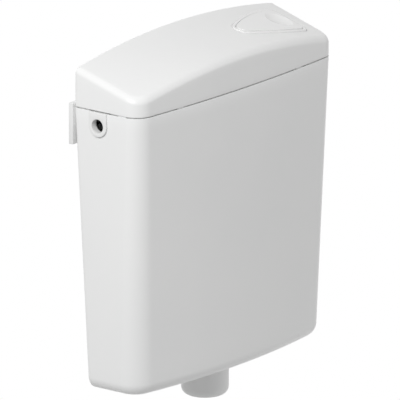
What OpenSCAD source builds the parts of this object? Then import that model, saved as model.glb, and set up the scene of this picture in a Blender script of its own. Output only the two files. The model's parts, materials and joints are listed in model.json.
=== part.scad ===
// Wall hung low level cistern with its lid, flush valve, inlet valve and wall rail.
// Millimetres, Z up, X to the right seen from the front, Y towards the wall.
// The origin lies on the wall plane, in the middle of the wall rail.

/* [Tank] */
// Width of the tank across the rim
tank_w = 400; // [360:1:440]
// Depth of the rim along its sides
tank_d = 104; // [98:1:130]
// Height from the outside of the floor to the rim
tank_h = 369; // [330:1:420]
// Forward bow of the front wall at the rim
bow_rim = 10; // [6:0.5:18]
// Forward bow of the front wall at the foot
bow_foot = 18; // [10:0.5:24]
// Draft of each side wall over the full height
side_draft = 9.3; // [4:0.1:14]
// Draft of the front wall over the full height
front_draft = 11.6; // [4:0.1:16]
// Draft of the back wall over the full height
back_draft = 14; // [6:0.1:16]
// Radius of the front corners at the rim
corner_r_rim = 24; // [20:0.5:36]
// Radius of the front corners at the foot
corner_r_foot = 32; // [26:0.5:40]
// Radius of the back corners
back_r = 6; // [4:0.5:10]
// Radius of the rounded edge of the foot
foot_r = 17; // [10:0.5:22]
// Reach of the rounded edge under the back wall
foot_back_r = 9; // [6:0.5:10]
// Thickness of walls and floor
wall_t = 3; // [2.5:0.1:4]

/* [Lid] */
// Height of the lid over the rim at its back corners
lid_back_h = 53.2; // [50:0.1:62]
// Fall of the lid towards the front, per millimetre of depth
lid_fall = 0.298; // [0.2:0.002:0.32]
// Crown of the lid over its width, at the back
lid_crown = 17.9; // [10:0.1:26]
// Gain of the crown towards the front, per millimetre of depth
lid_crown_gain = 0.08; // [0:0.005:0.12]
// Radius of the rounded top edge
lid_edge_r = 8; // [6:0.2:10]
// Thickness of the lid
lid_t = 2.5; // [2:0.1:3]
// Depth of the locating lip inside the rim
lip_h = 6; // [3:0.5:7]
// Height of the shadow gap between lid and rim
lid_gap = 1.8; // [1:0.1:2.5]

/* [Button] */
// Distance of the middle of the button from the middle of the lid, as a share of the width
button_share = 0.28; // [0.26:0.005:0.295]
// Distance of the middle of the button from the back of the tank
button_y = 55; // [52:0.5:58]
// Length of the bezel
button_l = 118; // [112:0.5:124]
// Width of the bezel at its wide end
button_w = 64; // [60:0.5:68]
// Width of the bezel's visible band
bezel_w = 4; // [3:0.1:5]
// Height of the bezel over the lid
bezel_h = 1.2; // [0.4:0.1:1.6]
// Height of the button over its bezel
button_rise = 0.6; // [0:0.1:1]
// Depth of the recess that the bezel sits in
recess_h = 1.2; // [0.8:0.1:1.4]
// Gap between the bezel and the edge of its recess
recess_gap = 0.9; // [0.6:0.05:1.2]
// Gap between button and bezel
button_gap = 0.9; // [0.7:0.05:1.2]
// Diameter of the finger dimple
dimple_d = 38; // [30:0.5:42]
// Depth of the finger dimple
dimple_h = 4; // [2:0.1:4.5]

/* [Rail] */
// Height of the wall rail
rail_h = 54; // [48:1:64]
// Thickness of the wall rail
rail_t = 6.6; // [6:0.1:9]
// How far the rail stands out past each side of the tank
rail_over = 1.6; // [0:0.1:6]
// Height of the top of the rail over the rim
rail_rise = 5.5; // [3:0.5:8]
// Distance between the two wall screws
wall_pitch = 240; // [200:5:260]
// Radius of the wall screw holes
wall_hole_r = 3.3; // [2.5:0.1:4]
// Distance between the two hanger studs
hang_pitch = 316; // [300:2:324]

/* [Inlet] */
// Distance of the inlet bores from the back of the tank
inlet_y = 40; // [36:0.5:44]
// Depth of the inlet bores under the rim
inlet_drop = 17.5; // [16:0.5:20]
// Radius of the inlet bores
inlet_r = 9; // [8.6:0.1:10]
// Radius of the threaded shank
shank_r = 8.33; // [8:0.01:8.4]
// Radius of the U-shaped insert
insert_r = 14; // [13:0.5:15]

/* [Outlet] */
// Distance of the outlet from the back of the tank at the rim
outlet_y = 52; // [51:0.1:56]
// Outer radius of the outlet nut
nut_r = 30.4; // [29.8:0.1:33]
// Length of the outlet nut under the tank
nut_l = 43; // [40:0.5:50]
// Radius of the rounded lower edge of the nut
nut_edge_r = 11; // [8:0.5:12]
// Radius of the flush pipe
pipe_r = 20; // [19:0.1:20.5]
// Radius of the threaded tail
tail_r = 22.5; // [22.2:0.1:23]

/* [Lever] */
// Distance of the lever's pivot from the middle of the button
lever_in = 24; // [20:0.5:28]
// Height of the lever's pivot over the rim
lever_rise = 14; // [12:0.5:16]
// Distance of the pressed end of the lever from the middle of the button
push_out = 34; // [30:0.5:38]

/* [Hidden] */
$fn = 64;
// Fits between pieces, and how far a cut runs past a face
fit = 0.1;
seat_fit = 0.05;
seam = 0.3;
pin_fit = 0.05;
play = 0.5;
over = 1;
// Number of points along each run of a plan ring
n_back = 24;
n_rear = 3;
n_side = 4;
n_corner = 8;
n_front = 32;
// Levels of the tank and its axes
rim_z = rail_h / 2 - rail_rise;
foot_z = rim_z - tank_h;
floor_z = foot_z + wall_t;
tank_back = -rail_t - fit;
mid_y = tank_back - (tank_d + bow_rim) / 2;
out_y = tank_back - outlet_y;
in_y = tank_back - inlet_y;
in_z = rim_z - inlet_drop;
half_w = tank_w / 2;
// Brackets of the bridge on the tank's walls
ledge_root = 2.6;
ledge_in = 0.6;
ledge_l = 18;
ledge_t = 8;
ledge_h = 30;
ledge_side = 2;
// Studs of the rail and their keyholes
stud_r = 4;
stud_head_r = 8;
stud_head_h = 3.2;
stud_edge = 0.8;
stud_in = 0.4;
key_drop = 18;
key_l = 12;
// Wall rail
rail_rib = 3;
rail_mid = 22;
rail_boss = 14;
stud_boss = 10;
sink_h = 3.4;
// Inlet inserts and their slots
plate_t = 2.2;
insert_lap = 2.4;
insert_seat = 7.5;
insert_flange = 3.4;
insert_in = half_w - insert_seat;
slot_out = 5;
slot_l = 14;
// Lip and pads of the lid
pad_in = 1.9;
pad_l = 12;
lip_fit = 0.5;
lip_t = 2;
lip_root = 12;
lip_shoulder = 9;
lip_gap_l = 16;
lip_gap_side = 3;
// Level over the whole lid
sky = rim_z + lid_back_h + 2 * lid_crown;
slab_out = 8;
// Flush lever
button_x = tank_w * button_share;
lever_x = button_x - lever_in;
push_x = button_x + push_out;
lever_z = rim_z + lever_rise;
lever_half = 6;
lever_top = 4;
lever_low = 3;
lever_hub = 9;
lever_web = 4;
lever_tail = 10;
arm_end = 20;
arm_low = 5;
pocket_rim = 2.6;
push_arm = push_x - lever_x;
push_pad = 8;
push_end = 6;
fork_half = 3.8;
// Pin of the lever
ear_t = 4;
lever_pin_r = 3;
lever_pin_l = 2 * (lever_half + ear_t + play);
pin_head = 1.6;
pin_edge = 0.4;
// Bezel outline: nose, near corner and far corner
nose_r = 14.5;
nose_off = 6;
near_r = 12.5;
far_r = 8.5;
near_bow = 5;
end_bow = 0.8;
far_bow = 5.5;
// Seat of the bezel in the lid
seat_in = 1.8;
bezel_skirt_h = 14;
// Button underneath
button_t = 3.2;
skirt_h = 9;
skirt_t = 2;
boss_h = 7;
boss_out = 3;
rib_half = 3;
rib_w = 10;
rib_in = 4;
knuckle_r = 4.4;
knuckle_h = 15;
// Hinge of the button
hinge_in = 21;
hinge_low = 8;
hinge_r = 2;
hinge_end = 2.4;
hinge_x = button_x - button_l / 2 + hinge_in;
hinge_z = lid_top(hinge_x, tank_back - button_y) - hinge_low;
dimple_off = 35;
dimple_x = button_x + dimple_off;
// Flush valve levels
gasket_t = 3;
gasket_in = 0.7;
flange_t = 4;
seat_rise = 3;
seat_rim = 1;
crown_foot = 1.5;
crown = 0.7;
flange_z = floor_z + gasket_t;
cage_z = flange_z + flange_t;
seat_z = cage_z + seat_rise;
tail_t = 4;
tail_l = 27;
tail_edge = 1.2;
tail_bore = tail_r - tail_t;
tail_end = foot_z - tail_l;
seat_r = tail_r - tail_t / 2;
seal_t = 3;
seal_out = 3;
seal_edge = 0.5;
// Cage and its cap
cage_r = 29.5;
cage_h = 78;
cage_t = 2.6;
cage_foot = 2;
cage_step = 8;
cage_top = 12;
cap_fit = 0.35;
cap_in = 4;
cap_rim_t = 3;
guide_h = 18;
guide_t = 3;
vent_r = 2.4;
vent_in = 8;
// Lift tube and its head
tube_r = 15;
bore_r = 12.5;
tube_low = 62;
tube_top = rim_z - tube_low;
foot_t = 2.5;
foot_cone = 6;
foot_h = 10;
collar_z = lever_z + lever_top + seam;
collar_r = 7.5;
collar_h = 4;
collar_edge = 2.5;
rod_r = 3;
cap_h = 9;
cap_side = 2;
plug_h = 8;
plug_t = 2.2;
spoke_half = 2.6;
way_w = 7;
// Float on the lift tube
tube_float_up = 34;
tube_float_z = cage_z + cage_h + tube_float_up;
tube_float_h = 60;
tube_float_w = 13;
float_wall = 2.5;
float_edge = 3;
float_dome = 8;
sleeve_t = 2;
// Outlet nut levels
washer_t = 1.5;
washer_in = 1;
nut_end = foot_z - nut_l;
nut_lip = 5;
nut_chamfer = 1;
seal_lead = 0.8;
// Head of the inlet valve
head_in = 30;
head_r = 16;
head_edge = 3;
head_high = 6;
head_low = 48;
head_x = half_w - head_in;
head_top = rim_z - head_high;
head_foot = rim_z - head_low;
cap_seat = 3;
seat_wall = 1.3;
neck_r = 10;
flange_r = 13.5;
flange_w = 3.5;
flange_edge = 0.5;
shank_out = 30;
shank_end = half_w + shank_out;
shank_bore = 5.7;
shank_edge = 1;
bore_in = 8;
relief_in = 0.7;
relief_w = 1.2;
shank_seal_t = 2;
shank_nut_t = 8;
shank_flange_t = 1.6;
shank_flange = 1;
spigot_r = 6;
spigot_l = 14;
tube_rise = 45;
tube_foot = foot_z + tube_rise;
tube_t = 1.5;
// Cap, diaphragm and filter of the inlet valve
top_out = 1;
top_side = 5;
valve_top_h = 8.4;
flute_r = 2;
flute_out = 2.2;
disc_t = 1.6;
disc_in = 5;
filter_in = 14;
filter_l = 18;
filter_neck = 12;
filter_t = 1.2;
// Ears and lever of the inlet float
pivot_in = 24;
pivot_low = 32;
pivot_x = head_x - pivot_in;
pivot_z = rim_z - pivot_low;
lug_root = 8;
lug_up = 12;
lug_low = 14;
lug_r = 5;
lug_tip = 4.6;
lug_t = 3;
lug_gap = 0.6;
arm_half = 5;
arm_t = 4;
arm_tip = 10;
lug_out = arm_half + lug_gap + lug_t;
small_pin_r = 2;
small_pin_over = 0.8;
small_pin_l = 2 * (lug_out + small_pin_over);
hub_t = 2.6;
eye_in = 3.2;
eye_out = 6.6;
eye_gap = 0.6;
// Float and rod of the inlet valve
float_reach = 42;
float_low = 80;
float_x = pivot_x - float_reach;
float_top = rim_z - float_low;
float_r = 23;
float_h = 60;
float_skin = 2;
float_hub_t = 3.5;
float_hub_h = 8;
rod_stop = 4.6;
rod_in = 6;
rod_tip = 2;
stop_r = 4.2;
stop_t = 2.6;
float_rod_r = 2.4;
// Bridge of the lever and its screws
bridge_low = 8;
bridge_t = 10;
bridge_top = rim_z - bridge_low;
bridge_foot = bridge_top - bridge_t;
bridge_half = 9;
bridge_wall = 3;
bridge_end = 20;
bridge_gap = 1;
front_gap = 1.6;
screw_in = 11;
screw_r = 2;
screw_l = 6.5;
screw_edge = 0.8;
screw_head_h = 2.3;
screw_slot = 1;

function mix(a, b, t) = a + (b - a) * t;

// Plan ring of the shell at a share t of the height under the rim, inset by d, and by db at the back
function ring(t, d, db) =
  let (
    hw = half_w - side_draft * t,
    yb = tank_back - back_draft * t,
    bow = mix(bow_rim, bow_foot, t),
    yf = tank_back - tank_d + front_draft * t,
    rf = mix(corner_r_rim, corner_r_foot, t),
    ra = (hw * hw + bow * bow) / (2 * bow),
    cy = yf - bow + ra,
    fx = hw - rf,
    fy = cy - sqrt((ra - rf) * (ra - rf) - fx * fx),
    a0 = 360 + atan2(fy - cy, -fx),
    rb = max(back_r - d, 0.3),
    bx = hw - d - rb,
    by = yb - db - rb
  )
  concat(
    [for (i = [0 : n_back - 1]) [bx - 2 * bx * i / n_back, yb - db]],
    [for (i = [0 : n_rear - 1]) polar(-bx, by, rb, 90 + 90 * i / n_rear)],
    [for (i = [0 : n_side - 1]) [d - hw, mix(by, fy, i / n_side)]],
    [for (i = [0 : n_corner - 1]) polar(-fx, fy, rf - d, mix(180, a0, i / n_corner))],
    [for (i = [0 : n_front - 1]) polar(0, cy, ra - d, mix(a0, 540 - a0, i / n_front))],
    [for (i = [0 : n_corner - 1]) polar(fx, fy, rf - d, mix(540 - a0, 360, i / n_corner))],
    [for (i = [0 : n_side - 1]) [hw - d, mix(fy, by, i / n_side)]],
    [for (i = [0 : n_rear - 1]) polar(bx, by, rb, 90 * i / n_rear)]
  );

function polar(x, y, r, a) = [x + r * cos(a), y + r * sin(a)];

// Height of the lid's top over a plan point
function lid_top(x, y) =
  let (depth = tank_back - y)
  rim_z + lid_back_h - lid_fall * depth
    + (lid_crown + lid_crown_gain * depth) * (1 - x * x / (half_w * half_w));

// Upward normal of the lid's top over a plan point
function lid_normal(x, y) =
  let (
    sx = -2 * (lid_crown + lid_crown_gain * (tank_back - y)) * x / (half_w * half_w),
    sy = lid_fall - lid_crown_gain * (1 - x * x / (half_w * half_w)),
    n = [-sx, -sy, 1]
  )
  n / norm(n);

// Ring of the tank at height z, inset d
function tank_ring(z, d, db) = [for (p = ring((rim_z - z) / tank_h, d, db)) [p.x, p.y, z]];
// Ring of the lid at one height, inset d
function lid_ring(z, d) = [for (p = ring(0, d, d)) [p.x, p.y, z]];
// Ring of the lid that follows its top at a drop, inset d, drawn in by s
function top_ring(drop, d, s) =
  [for (p = ring(0, d, d))
    let (x = p.x * s, y = mid_y + (p.y - mid_y) * s)
    [x, y, lid_top(x, y) - drop]];

// Closed skin through a stack of rings, with an apex at each end
module skin(first, rings, last) {
  n = len(rings[0]);
  m = len(rings);
  pts = concat([first], [for (r = rings) for (p = r) p], [last]);
  faces = concat(
    [for (i = [0 : n - 1]) [0, 1 + i, 1 + (i + 1) % n]],
    [for (k = [0 : m - 2]) for (i = [0 : n - 1])
      [1 + k * n + i, 1 + (k + 1) * n + i, 1 + (k + 1) * n + (i + 1) % n]],
    [for (k = [0 : m - 2]) for (i = [0 : n - 1])
      [1 + k * n + i, 1 + (k + 1) * n + (i + 1) % n, 1 + k * n + (i + 1) % n]],
    [for (i = [0 : n - 1])
      [m * n + 1, 1 + (m - 1) * n + (i + 1) % n, 1 + (m - 1) * n + i]]
  );
  polyhedron(points = pts, faces = faces, convexity = 8);
}

// Prism over a drawing in Y and Z, along X from x0
module along_x(x0, l) {
  translate([x0, 0, 0]) rotate([90, 0, 90]) linear_extrude(height = l) children();
}

// Prism over a drawing in X and Z, along Y up to y1
module along_y(y1, l) {
  translate([0, y1, 0]) rotate([90, 0, 0]) linear_extrude(height = l) children();
}

// Turned piece round the outlet's axis
module turned(pts) {
  translate([0, out_y, 0]) rotate_extrude($fn = 96) polygon(pts);
}

// U-shaped drawing round an inlet's axis, open to the top
module u_shape(r, top) {
  polygon(concat(
    [[in_y + r, top], [in_y - r, top]],
    [for (i = [0 : 16]) polar(in_y, in_z, r, 180 + 180 * i / 16)]
  ));
}

// Outline through round corners [x, y, r] joined by bowed edges
function edge_lean(a, b) = asin((a[2] - b[2]) / norm([b.x - a.x, b.y - a.y]));
function edge_dir(a, b) = atan2(b.y - a.y, b.x - a.x) - 90 + edge_lean(a, b);
function edge_len(a, b) = norm([b.x - a.x, b.y - a.y]) * cos(edge_lean(a, b));
function turn(a, b) = a + ((b - a) % 360 + 360) % 360;
function outline(c, bow) =
  [for (k = [0 : len(c) - 1])
    let (
      p = c[(k + len(c) - 1) % len(c)],
      q = c[k],
      r = c[(k + 1) % len(c)],
      bp = bow[(k + len(c) - 1) % len(c)],
      d_in = edge_dir(p, q),
      d_out = turn(d_in, edge_dir(q, r)),
      a_in = d_in + atan(4 * bp / edge_len(p, q)),
      a_out = d_out - atan(4 * bow[k] / edge_len(q, r)),
      s = polar(q.x, q.y, q[2], a_out),
      e = polar(r.x, r.y, r[2], d_out + atan(4 * bow[k] / edge_len(q, r)))
    )
    each concat(
      [for (i = [0 : 7]) polar(q.x, q.y, q[2], mix(a_in, a_out, i / 8))],
      [for (i = [0 : 9])
        let (u = i / 10, b = bow[k] * 4 * u * (1 - u) * 0.9)
        mix(s, e, u) + b * [cos(d_out), sin(d_out)]]
    )];

// Outline of the bezel, grown by g
function bezel_line(g) =
  let (
    x0 = button_x - button_l / 2,
    x1 = button_x + button_l / 2,
    yc = tank_back - button_y
  )
  outline(
    [
      [x0 + nose_r, yc - nose_off, nose_r + g],
      [x1 - near_r, yc - button_w / 2 + near_r, near_r + g],
      [x1 - far_r, yc + button_w / 2 - far_r, far_r + g]
    ],
    [near_bow, end_bow, far_bow]
  );

// Heights in Y where an outline crosses a line of constant x
function crossings(pts, x) =
  [for (i = [0 : len(pts) - 1])
    let (p = pts[i], q = pts[(i + 1) % len(pts)])
    if ((p.x - x) * (q.x - x) < 0)
      p.y + (q.y - p.y) * (x - p.x) / (q.x - p.x)];

// Slab that follows the lid's top between two offsets, over the button's field
module top_slab(h0, h1) {
  nx = 14;
  ny = 8;
  x0 = button_x - button_l / 2 - slab_out;
  y0 = tank_back - button_y - button_w / 2 - slab_out;
  dx = (button_l + 2 * slab_out) / nx;
  dy = (button_w + 2 * slab_out) / ny;
  w = nx + 1;
  m = w * (ny + 1);
  pts = [for (h = [h0, h1]) for (j = [0 : ny]) for (i = [0 : nx])
    let (x = x0 + i * dx, y = y0 + j * dy)
    [x, y, lid_top(x, y) + h]];
  top = [for (j = [0 : ny - 1]) for (i = [0 : nx - 1])
    let (a = m + j * w + i)
    each [[a, a + w, a + w + 1], [a, a + w + 1, a + 1]]];
  low = [for (j = [0 : ny - 1]) for (i = [0 : nx - 1])
    let (a = j * w + i)
    each [[a, a + w + 1, a + w], [a, a + 1, a + w + 1]]];
  front = [for (i = [0 : nx - 1]) each [[i, m + i, m + i + 1], [i, m + i + 1, i + 1]]];
  back = [for (i = [0 : nx - 1])
    let (a = ny * w + i)
    each [[a, m + a + 1, m + a], [a, a + 1, m + a + 1]]];
  left = [for (j = [0 : ny - 1])
    let (a = j * w)
    each [[a, m + a + w, m + a], [a, a + w, m + a + w]]];
  right = [for (j = [0 : ny - 1])
    let (a = j * w + nx)
    each [[a, m + a, m + a + w], [a, m + a + w, a + w]]];
  polyhedron(points = pts, faces = concat(top, low, front, back, left, right), convexity = 4);
}

// Part of the lid's top inside the bezel's outline, between two offsets
module top_patch(g, h0, h1) {
  intersection() {
    top_slab(h0, h1);
    linear_extrude(height = sky) polygon(bezel_line(g));
  }
}

// Band of the lid's top between two outlines of the bezel
module top_band(g_out, g_in, h0, h1) {
  difference() {
    top_patch(g_out, h0, h1);
    linear_extrude(height = sky + over) polygon(bezel_line(g_in));
  }
}

// Front of the tank's inside at the bridge
function bridge_front() =
  let (ra = (half_w * half_w + bow_rim * bow_rim) / (2 * bow_rim), x = lever_x + bridge_half)
  tank_back - tank_d - bow_rim + x * x / (2 * ra) + wall_t + front_gap;

// Bracket moulded on a wall, drawn from the wall inwards
module ledge(y, way) {
  along_x(lever_x - bridge_half - ledge_side, 2 * (bridge_half + ledge_side))
    polygon([
      [y - way * ledge_root, bridge_foot - seat_fit],
      [y + way * ledge_l, bridge_foot - seat_fit],
      [y + way * ledge_l, bridge_foot - ledge_t],
      [y - way * ledge_root, bridge_foot - ledge_h]
    ]);
}

module tank_shell() {
  fillet = [0, 22.5, 45, 67.5, 90];
  in_r = foot_r - wall_t;
  in_back = foot_back_r - wall_t;
  up = [0.66, 0.33, 0];
  outer = concat(
    [for (a = fillet)
      tank_ring(foot_z + foot_r * (1 - cos(a)), foot_r * (1 - sin(a)), foot_back_r * (1 - sin(a)))],
    [for (t = up) tank_ring(rim_z - t * tank_h, 0, 0)]
  );
  inner = concat(
    [for (i = [2 : -1 : 0]) tank_ring(rim_z - up[i] * tank_h, wall_t, wall_t)],
    [for (i = [4 : -1 : 0])
      tank_ring(
        floor_z + in_r * (1 - cos(fillet[i])),
        wall_t + in_r * (1 - sin(fillet[i])),
        wall_t + in_back * (1 - sin(fillet[i]))
      )]
  );
  skin([0, mid_y, foot_z], concat(outer, inner), [0, mid_y, floor_z]);
}

module tank() {
  key_r = stud_r + seam;
  slot_r = insert_r - insert_lap;
  color("white")
  difference() {
    union() {
      tank_shell();
      ledge(tank_back - wall_t - ledge_in, -1);
      ledge(bridge_front() - ledge_in, 1);
    }
    // hole for the threaded tail, with flats
    translate([0, out_y, foot_z - over])
      linear_extrude(height = wall_t + 2 * over)
        polygon([for (i = [0 : 23]) polar(0, 0, (tail_r + seam) / cos(7.5), 15 * i)]);
    // slots for the inlet inserts, open to the rim
    along_x(-half_w - slot_out, slot_l) u_shape(slot_r, rim_z + over);
    along_x(half_w + slot_out - slot_l, slot_l) u_shape(slot_r, rim_z + over);
    // keyholes for the hanger studs
    for (sx = [-1, 1])
      translate([sx * hang_pitch / 2, tank_back + 2 * over, 0]) rotate([90, 0, 0]) {
        cylinder(r = key_r, h = key_l);
        translate([-key_r, -key_drop, 0]) cube([2 * key_r, key_drop, key_l]);
        translate([0, -key_drop, 0]) cylinder(r = stud_head_r + 2 * seam, h = key_l);
      }
    // screw holes in the two brackets
    for (y = bridge_screw_y())
      translate([lever_x, y, bridge_foot - screw_l - play])
        cylinder(r = screw_r + pin_fit, h = ledge_t + 2 * over);
  }
}

function bridge_screw_y() =
  [tank_back - wall_t - bridge_gap - screw_in, bridge_front() + screw_in];

// Pads under the edge of the lid that stand on the rim
module rest_pads(reach) {
  intersection() {
    translate([0, 0, rim_z + seat_fit])
      linear_extrude(height = lid_gap + over)
        difference() {
          polygon(ring(0, pad_in, pad_in));
          polygon(ring(0, reach, reach));
        }
    translate([0, 0, rim_z - over])
      linear_extrude(height = lid_gap + 4 * over) {
        for (sx = [-1, 1])
          translate([sx * tank_w * 0.3 - pad_l / 2, mid_y - tank_d]) square([pad_l, 2 * tank_d]);
        translate([-tank_w, mid_y - tank_d / 4]) square([2 * tank_w, pad_l]);
      }
  }
}

module lid() {
  in_r = lid_edge_r - lid_t;
  spread = [0.15, 0.32, 0.5, 0.67, 0.84];
  lip_out = wall_t + lip_fit;
  lip_in = lip_out + lip_t;
  low = rim_z + lid_gap;
  rings = concat(
    [for (s = spread) top_ring(lid_t, lid_edge_r, s)],
    [for (a = [90, 60, 30, 0])
      top_ring(lid_t + in_r * (1 - sin(a)), lid_t + in_r * (1 - cos(a)), 1)],
    [
      lid_ring(rim_z + lip_root, lid_t),
      lid_ring(rim_z + lip_shoulder, lip_in),
      lid_ring(rim_z - lip_h, lip_in),
      lid_ring(rim_z - lip_h, lip_out),
      lid_ring(low, lip_out),
      lid_ring(low, 0)
    ],
    [for (a = [0, 22.5, 45, 67.5, 90])
      top_ring(lid_edge_r * (1 - sin(a)), lid_edge_r * (1 - cos(a)), 1)],
    [for (i = [4 : -1 : 0]) top_ring(0, lid_edge_r, spread[i])]
  );
  color("white")
  difference() {
    union() {
      skin([0, mid_y, lid_top(0, mid_y) - lid_t], rings, [0, mid_y, lid_top(0, mid_y)]);
      rest_pads(lip_out + lip_fit);
    }
    // opening and recess of the bezel
    translate([0, 0, rim_z + lip_root])
      linear_extrude(height = lid_back_h + lid_crown) polygon(bezel_line(-seat_in));
    top_patch(recess_gap, -recess_h, bezel_h + 2 * over);
    // gaps in the lip over the inlet inserts
    for (sx = [-1, 1])
      translate([sx * (half_w - lip_out + 2 * fit), in_y, rim_z - lip_h - over])
        translate([sx > 0 ? -lip_gap_l : 0, -insert_r - lip_gap_side, 0])
          cube([lip_gap_l, 2 * (insert_r + lip_gap_side), lip_h + 2 * over]);
  }
}

module wall_rail() {
  w = tank_w + 2 * rail_over;
  cell_h = rail_h - 2 * rail_rib;
  screw = wall_pitch / 2;
  stud = hang_pitch / 2;
  color("gainsboro")
  difference() {
    translate([-w / 2, -rail_t, -rail_h / 2]) cube([w, rail_t, rail_h]);
    // cells moulded into the wall side
    for (sx = [-1, 1]) {
      for (span = [[rail_mid, screw - rail_boss], [screw + rail_boss, stud - stud_boss],
                   [stud + stud_boss, w / 2 - rail_rib]])
        translate([sx > 0 ? span[0] : -span[1], -rail_t + rail_rib, -cell_h / 2])
          cube([span[1] - span[0], rail_t, cell_h]);
      translate([sx * screw, over, 0]) rotate([90, 0, 0])
        cylinder(r = wall_hole_r, h = rail_t + 2 * over);
      translate([sx * screw, -rail_t + sink_h - 2 * fit, 0]) rotate([90, 0, 0])
        cylinder(r1 = wall_hole_r, r2 = wall_hole_r + sink_h, h = sink_h);
      translate([sx * stud, over, 0]) rotate([90, 0, 0])
        cylinder(r = stud_r + pin_fit, h = rail_t + 2 * over);
    }
  }
}

module hanger_studs() {
  lean = back_draft * rim_z / tank_h;
  head = rail_t + fit + lean + wall_t + stud_in;
  end = head + stud_head_h;
  color("silver")
  for (sx = [-1, 1])
    translate([sx * hang_pitch / 2, -stud_in, 0]) rotate([90, 0, 0])
      rotate_extrude($fn = 48)
        polygon([[0, 0], [stud_r, 0], [stud_r, head], [stud_head_r - stud_edge, head],
                 [stud_head_r, head + stud_edge], [stud_head_r, end - stud_edge],
                 [stud_head_r - stud_edge, end], [0, end]]);
}

// Insert with an outer and an inner flange astride the wall, for the right side
module inlet_insert() {
  top = rim_z - fit;
  plug_r = insert_r - insert_lap - 2 * fit;
  difference() {
    union() {
      along_x(half_w + fit, plate_t) u_shape(insert_r, top);
      along_x(insert_in, insert_seat + fit + play) u_shape(plug_r, top);
      along_x(insert_in, insert_flange) u_shape(insert_r, top);
    }
    translate([insert_in - over, in_y, in_z]) rotate([0, 90, 0])
      cylinder(r = inlet_r, h = insert_seat + fit + plate_t + 2 * over);
  }
}

module inlet_insert_left() {
  color("whitesmoke") mirror([1, 0, 0]) inlet_insert();
}

module inlet_insert_right() {
  color("whitesmoke") inlet_insert();
}

module hinge_bore(r) {
  translate([hinge_x, out_y + tank_d, hinge_z]) rotate([90, 0, 0]) cylinder(r = r, h = 2 * tank_d);
}

module button_bezel() {
  color("silver")
  difference() {
    union() {
      top_band(0, -bezel_w, seam / 2 - recess_h, bezel_h);
      top_band(-seat_in - seam, -bezel_w, -bezel_skirt_h, 0);
    }
    hinge_bore(hinge_r + pin_fit);
  }
}

module flush_button() {
  g = -bezel_w - button_gap;
  yd = tank_back - button_y;
  ball = (dimple_d * dimple_d / 4 + dimple_h * dimple_h) / (2 * dimple_h);
  top_h = bezel_h + button_rise;
  rib_foot = lever_z + lever_top + seam;
  color("silver")
  difference() {
    union() {
      top_patch(g, -button_t, top_h);
      top_band(g, g - skirt_t, -skirt_h, -over);
      intersection() {
        top_patch(g, -boss_h, -over);
        translate([dimple_x, yd, 0]) cylinder(r = dimple_d / 2 + boss_out, h = sky);
      }
      intersection() {
        top_patch(g, -knuckle_h, -over);
        translate([hinge_x, yd + button_w, hinge_z]) rotate([90, 0, 0])
          cylinder(r = knuckle_r, h = 2 * button_w);
      }
      // rib that presses on the lever
      translate([push_x - rib_half, out_y - rib_w / 2, rib_foot])
        cube([2 * rib_half, rib_w, lid_top(push_x + rib_half, out_y) - rib_foot - rib_in + seam]);
    }
    // finger dimple
    translate([dimple_x, yd, lid_top(dimple_x, yd) + top_h])
      translate((ball - dimple_h) * lid_normal(dimple_x, yd))
        sphere(r = ball, $fn = 96);
    hinge_bore(hinge_r + pin_fit);
  }
}

module button_pin() {
  y = crossings(bezel_line(-hinge_end), hinge_x);
  color("silver")
  translate([hinge_x, max(y), hinge_z]) rotate([90, 0, 0])
    cylinder(r = hinge_r, h = max(y) - min(y));
}

module lever_bridge() {
  y0 = bridge_front();
  y1 = tank_back - wall_t - bridge_gap;
  ear = lever_half + play;
  color("whitesmoke")
  difference() {
    union() {
      translate([lever_x - bridge_half, y0, bridge_foot]) cube([2 * bridge_half, y1 - y0, bridge_t]);
      for (y = [out_y - ear, out_y + ear + ear_t]) {
        along_y(y, ear_t)
          translate([lever_x - bridge_half, bridge_top - over])
            square([2 * bridge_half, lever_z - bridge_top + over]);
        translate([lever_x, y, lever_z]) rotate([90, 0, 0]) cylinder(r = bridge_half, h = ear_t);
      }
    }
    lever_pin_bore();
    // channel moulded into the underside
    translate([lever_x - bridge_half + bridge_wall, y0 + bridge_end, bridge_foot - over])
      cube([2 * (bridge_half - bridge_wall), y1 - y0 - 2 * bridge_end, bridge_t - bridge_wall + over]);
    for (y = bridge_screw_y())
      translate([lever_x, y, bridge_foot - over]) cylinder(r = screw_r + seam, h = bridge_t + 2 * over);
  }
}

module lever_pin_bore() {
  translate([lever_x, out_y + lever_pin_l, lever_z]) rotate([90, 0, 0])
    cylinder(r = lever_pin_r + pin_fit, h = 2 * lever_pin_l);
}

module bridge_screws() {
  head = bridge_t + screw_l;
  end = head + screw_head_h;
  head_r = 2 * screw_r;
  bit = 1.5 * screw_r;
  color("silver")
  for (y = bridge_screw_y())
    translate([lever_x, y, bridge_foot - screw_l])
      difference() {
        rotate_extrude($fn = 48)
          polygon([[0, 0], [0.7 * screw_r, 0], [screw_r, screw_r / 2], [screw_r, head + seat_fit],
                   [head_r, head + seat_fit], [head_r, end - screw_edge], [head_r - screw_edge, end],
                   [0, end]]);
        translate([-bit, -screw_slot / 2, end - screw_slot]) cube([2 * bit, screw_slot, 2 * screw_slot]);
        translate([-screw_slot / 2, -bit, end - screw_slot]) cube([screw_slot, 2 * bit, 2 * screw_slot]);
      }
}

module lever_pin() {
  head = lever_pin_r + pin_head;
  head_t = pin_head - fit;
  end = lever_pin_l + 2 * head_t;
  tip = 1.5 * pin_edge;
  color("silver")
  translate([lever_x, out_y + lever_pin_l / 2 + pin_head + fit, lever_z]) rotate([90, 0, 0])
    rotate_extrude($fn = 48)
      polygon([[0, 0], [head - pin_edge, 0], [head, pin_edge], [head, head_t], [lever_pin_r, head_t],
               [lever_pin_r, end - tip], [lever_pin_r - tip, end], [0, end]]);
}

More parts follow.
